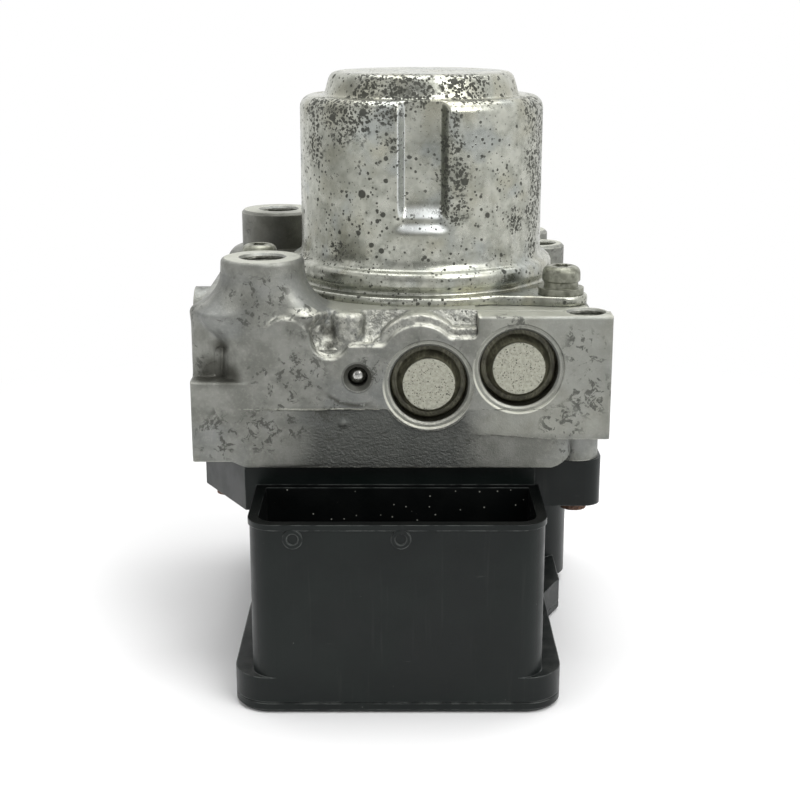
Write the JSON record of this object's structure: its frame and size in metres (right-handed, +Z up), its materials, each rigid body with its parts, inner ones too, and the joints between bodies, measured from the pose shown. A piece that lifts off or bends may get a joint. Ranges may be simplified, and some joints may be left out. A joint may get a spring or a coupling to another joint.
{
  "type": "abs brake module",
  "caption": "Hydraulic brake control module: cast valve body with pipe ports, drawn-steel pump motor on top and a moulded control unit with a plug socket below.",
  "frame": {"origin": "where the motor axis meets the underside of the control unit's cover, on the plane the module stands on", "axes": "+Z up along the motor axis; -Y towards the plug socket and the front pump plugs; +X towards the corner outlet port"},
  "size_m": [0.1111, 0.1275, 0.1527],
  "materials": {
    "moulded_housing": "glass-filled nylon, moulded, satin charcoal",
    "moulded_cover": "glass-filled nylon, moulded, satin charcoal",
    "seal_rubber": "moulded rubber",
    "board": "solder-masked fibreglass board",
    "board_parts": "moulded epoxy packages",
    "contacts": "tin-plated copper alloy",
    "unit_screws": "rusted steel",
    "cast_body": "die-cast, satin grey with dark oxide patches",
    "plugs": "turned steel, slightly pitted",
    "balls": "polished bearing steel",
    "ground_steel": "ground steel",
    "spring_steel": "drawn spring steel",
    "piston": "turned and anodised aluminium",
    "valve_steel": "turned magnetic stainless steel",
    "yoke_steel": "zinc-plated pressed steel",
    "copper_winding": "enamelled copper wire",
    "motor_can": "zinc-plated drawn steel with dark corrosion specks",
    "motor_screws": "zinc-plated steel, dulled",
    "magnet": "sintered ferrite",
    "brush_plate": "moulded phenolic",
    "carbon": "pressed carbon and copper",
    "lamination": "stamped silicon steel",
    "copper_bars": "drawn copper segments"
  },
  "bodies": {
    "module": {"ecu_housing": "moulded_housing", "ecu_cover": "moulded_cover", "cover_seal": "seal_rubber", "body_seal": "seal_rubber", "circuit_board": "board", "board_parts": "board_parts", "socket_contacts": "contacts", "unit_screws": "unit_screws", "valve_body": "cast_body", "pump_plug_front": "plugs", "pump_plug_rear": "plugs", "accumulator_plug_front": "plugs", "accumulator_plug_rear": "plugs", "bore_balls": "balls", "pump_sleeve_front": "ground_steel", "pump_sleeve_rear": "ground_steel", "pump_spring_front": "spring_steel", "pump_spring_rear": "spring_steel", "accumulator_spring_front": "spring_steel", "accumulator_spring_rear": "spring_steel", "inlet_valves": "valve_steel", "outlet_valves": "valve_steel", "coil_yokes": "yoke_steel", "coil_windings": "copper_winding", "coil_leads": "contacts", "motor_can": "motor_can", "motor_gasket": "seal_rubber", "motor_screws": "motor_screws", "magnets": "magnet", "bearing_retainer": "yoke_steel", "lower_bearing": "ground_steel", "upper_bearing": "ground_steel", "brush_plate": "brush_plate", "brush_spring_left": "spring_steel", "brush_spring_right": "spring_steel", "motor_leads": "contacts", "lead_tube": "brush_plate"},
    "rotor": {"motor_shaft": "ground_steel", "eccentric_ring": "ground_steel", "rotor_core": "lamination", "rotor_winding": "copper_winding", "commutator": "copper_bars"},
    "plunger_front": {"pump_plunger_front": "ground_steel"},
    "plunger_rear": {"pump_plunger_rear": "ground_steel"},
    "piston_front": {"accumulator_piston_front": "piston"},
    "piston_rear": {"accumulator_piston_rear": "piston"},
    "left_brush": {"brush_left": "carbon"},
    "right_brush": {"brush_right": "carbon"},
    "armature_1": {"valve_armature_1": "valve_steel"},
    "armature_2": {"valve_armature_2": "valve_steel"},
    "armature_3": {"valve_armature_3": "valve_steel"},
    "armature_4": {"valve_armature_4": "valve_steel"},
    "armature_5": {"valve_armature_5": "valve_steel"},
    "armature_6": {"valve_armature_6": "valve_steel"},
    "armature_7": {"valve_armature_7": "valve_steel"},
    "armature_8": {"valve_armature_8": "valve_steel"}
  },
  "joints": [
    {"name": "motor_spin", "type": "hinge", "parent": "module", "child": "rotor", "pos_m": [0, 0, 0.12], "axis": [0, 0, 1], "continuous": true},
    {"name": "plunger_front_stroke", "type": "slide", "parent": "module", "child": "plunger_front", "axis": [0, -1, 0], "range_m": [-0.0012, 0.0012], "stiffness_N_per_m": 900, "deforming": ["pump_spring_front"]},
    {"name": "accumulator_front_stroke", "type": "slide", "parent": "module", "child": "piston_front", "axis": [0, -1, 0], "range_m": [0, 0.009], "stiffness_N_per_m": 900, "deforming": ["accumulator_spring_front"]},
    {"name": "plunger_rear_stroke", "type": "slide", "parent": "module", "child": "plunger_rear", "axis": [0, 1, 0], "range_m": [-0.0012, 0.0012], "stiffness_N_per_m": 900, "deforming": ["pump_spring_rear"]},
    {"name": "accumulator_rear_stroke", "type": "slide", "parent": "module", "child": "piston_rear", "axis": [0, 1, 0], "range_m": [0, 0.009], "stiffness_N_per_m": 900, "deforming": ["accumulator_spring_rear"]},
    {"name": "brush_left_feed", "type": "slide", "parent": "module", "child": "left_brush", "axis": [-1, 0, 0], "range_m": [0, 0.0015], "stiffness_N_per_m": 300, "deforming": ["brush_spring_left"]},
    {"name": "brush_right_feed", "type": "slide", "parent": "module", "child": "right_brush", "axis": [1, 0, 0], "range_m": [0, 0.0015], "stiffness_N_per_m": 300, "deforming": ["brush_spring_right"]},
    {"name": "valve_1_lift", "type": "slide", "parent": "module", "child": "armature_1", "axis": [0, 0, 1], "range_m": [0, 0.0003]},
    {"name": "valve_2_lift", "type": "slide", "parent": "module", "child": "armature_2", "axis": [0, 0, 1], "range_m": [0, 0.0003]},
    {"name": "valve_3_lift", "type": "slide", "parent": "module", "child": "armature_3", "axis": [0, 0, 1], "range_m": [0, 0.0003]},
    {"name": "valve_4_lift", "type": "slide", "parent": "module", "child": "armature_4", "axis": [0, 0, 1], "range_m": [0, 0.0003]},
    {"name": "valve_5_lift", "type": "slide", "parent": "module", "child": "armature_5", "axis": [0, 0, 1], "range_m": [0, 0.0003]},
    {"name": "valve_6_lift", "type": "slide", "parent": "module", "child": "armature_6", "axis": [0, 0, 1], "range_m": [0, 0.0003]},
    {"name": "valve_7_lift", "type": "slide", "parent": "module", "child": "armature_7", "axis": [0, 0, 1], "range_m": [0, 0.0003]},
    {"name": "valve_8_lift", "type": "slide", "parent": "module", "child": "armature_8", "axis": [0, 0, 1], "range_m": [0, 0.0003]}
  ]
}
